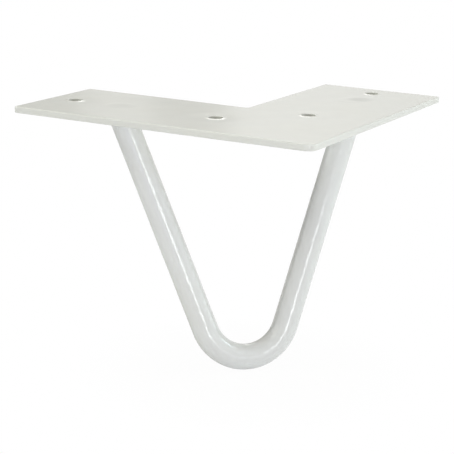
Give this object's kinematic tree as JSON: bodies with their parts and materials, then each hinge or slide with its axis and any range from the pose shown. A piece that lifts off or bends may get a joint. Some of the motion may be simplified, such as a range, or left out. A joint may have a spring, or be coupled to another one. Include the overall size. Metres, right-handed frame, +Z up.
{
  "type": "hairpin table leg",
  "caption": "Short hairpin leg: an L-shaped screw-on steel plate with a round rod bent into a V and welded under its arms, carrying a table or cabinet corner.",
  "frame": {"origin": "where the centrelines of the plate's two arms cross, on the mounting face", "axes": "+Z up, out of the mounting face into the furniture; +X and +Y along the centrelines of the two arms"},
  "size_m": [0.12, 0.12, 0.1],
  "materials": {
    "white_powder_coat": "glossy off-white powder coat over steel"
  },
  "bodies": {
    "root": {"mounting_plate": "white_powder_coat", "hairpin_rod": "white_powder_coat", "weld_bead_x_arm": "white_powder_coat", "weld_bead_y_arm": "white_powder_coat"}
  },
  "joints": []
}
